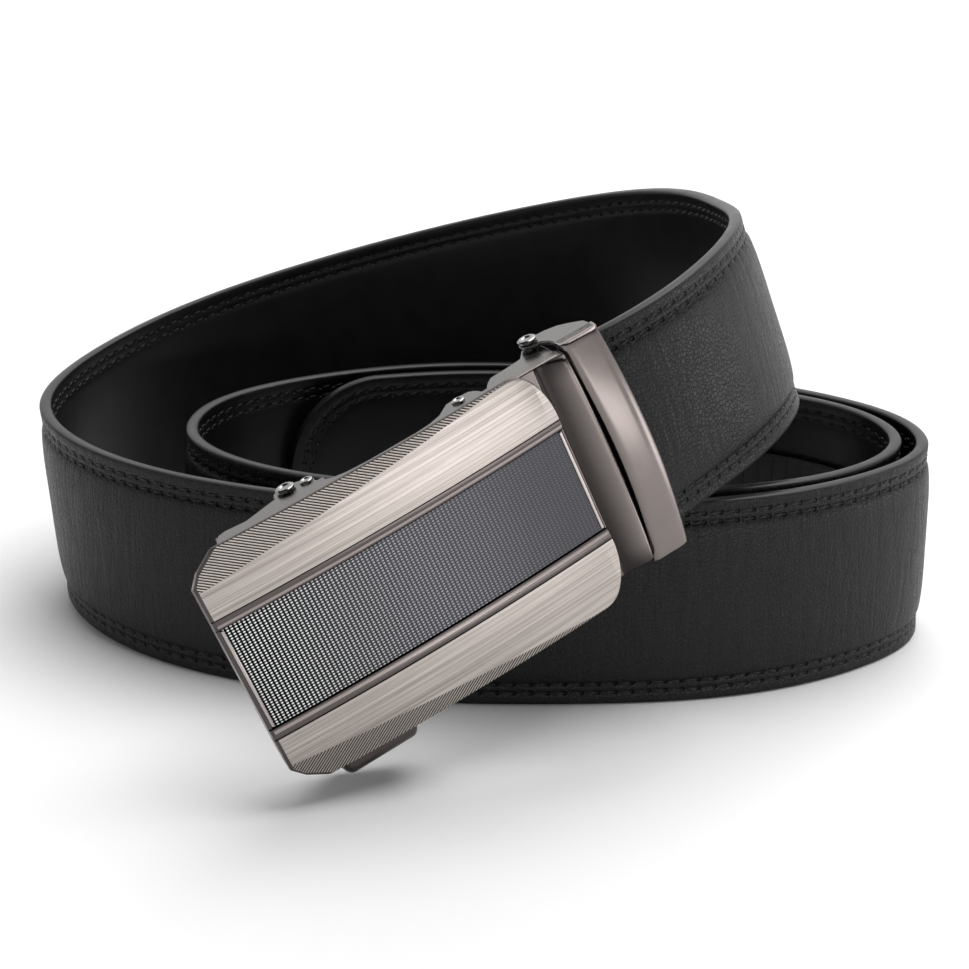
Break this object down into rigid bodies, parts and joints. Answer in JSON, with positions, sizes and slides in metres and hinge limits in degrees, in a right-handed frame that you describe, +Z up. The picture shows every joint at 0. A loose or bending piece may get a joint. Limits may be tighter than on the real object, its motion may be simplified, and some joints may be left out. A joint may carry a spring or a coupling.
{
  "type": "ratchet belt",
  "caption": "Coiled padded leather strap with edge stitching, a ratchet track on its free end and a rectangular automatic buckle with a release lever.",
  "frame": {"origin": "under the middle of the belt's bounding box, on the surface it lies on", "axes": "+Z up, the buckle's face towards -Y, +X to the viewer's right"},
  "size_m": [0.1566, 0.1432, 0.0747],
  "materials": {
    "leather": "fine grain, satin, black",
    "track": "moulded, satin, black",
    "brushed_face": "lengthwise brushed, warm pewter",
    "woven_inlay": "fine woven relief, slate",
    "gunmetal": "satin plated, dark gunmetal",
    "steel": "polished"
  },
  "bodies": {
    "belt": {"strap": "leather", "ratchet_track": "track", "face_plate": "brushed_face", "face_inlay": "woven_inlay", "casing": "gunmetal", "clamp_loop": "gunmetal", "clamp_jaw": "steel", "jaw_pin": "steel", "lever_pin": "steel"},
    "lever": {"release_lever": "gunmetal"}
  },
  "joints": [
    {"name": "release_lever_hinge", "type": "hinge", "parent": "belt", "child": "lever", "pos_m": [-0.02052, -0.05365, 0.02918], "axis": [-0.3862, -0.0984, 0.9171], "range_deg": [0, 10], "stiffness_Nm_per_rad": 0.1, "springref_deg": -5.73}
  ]
}
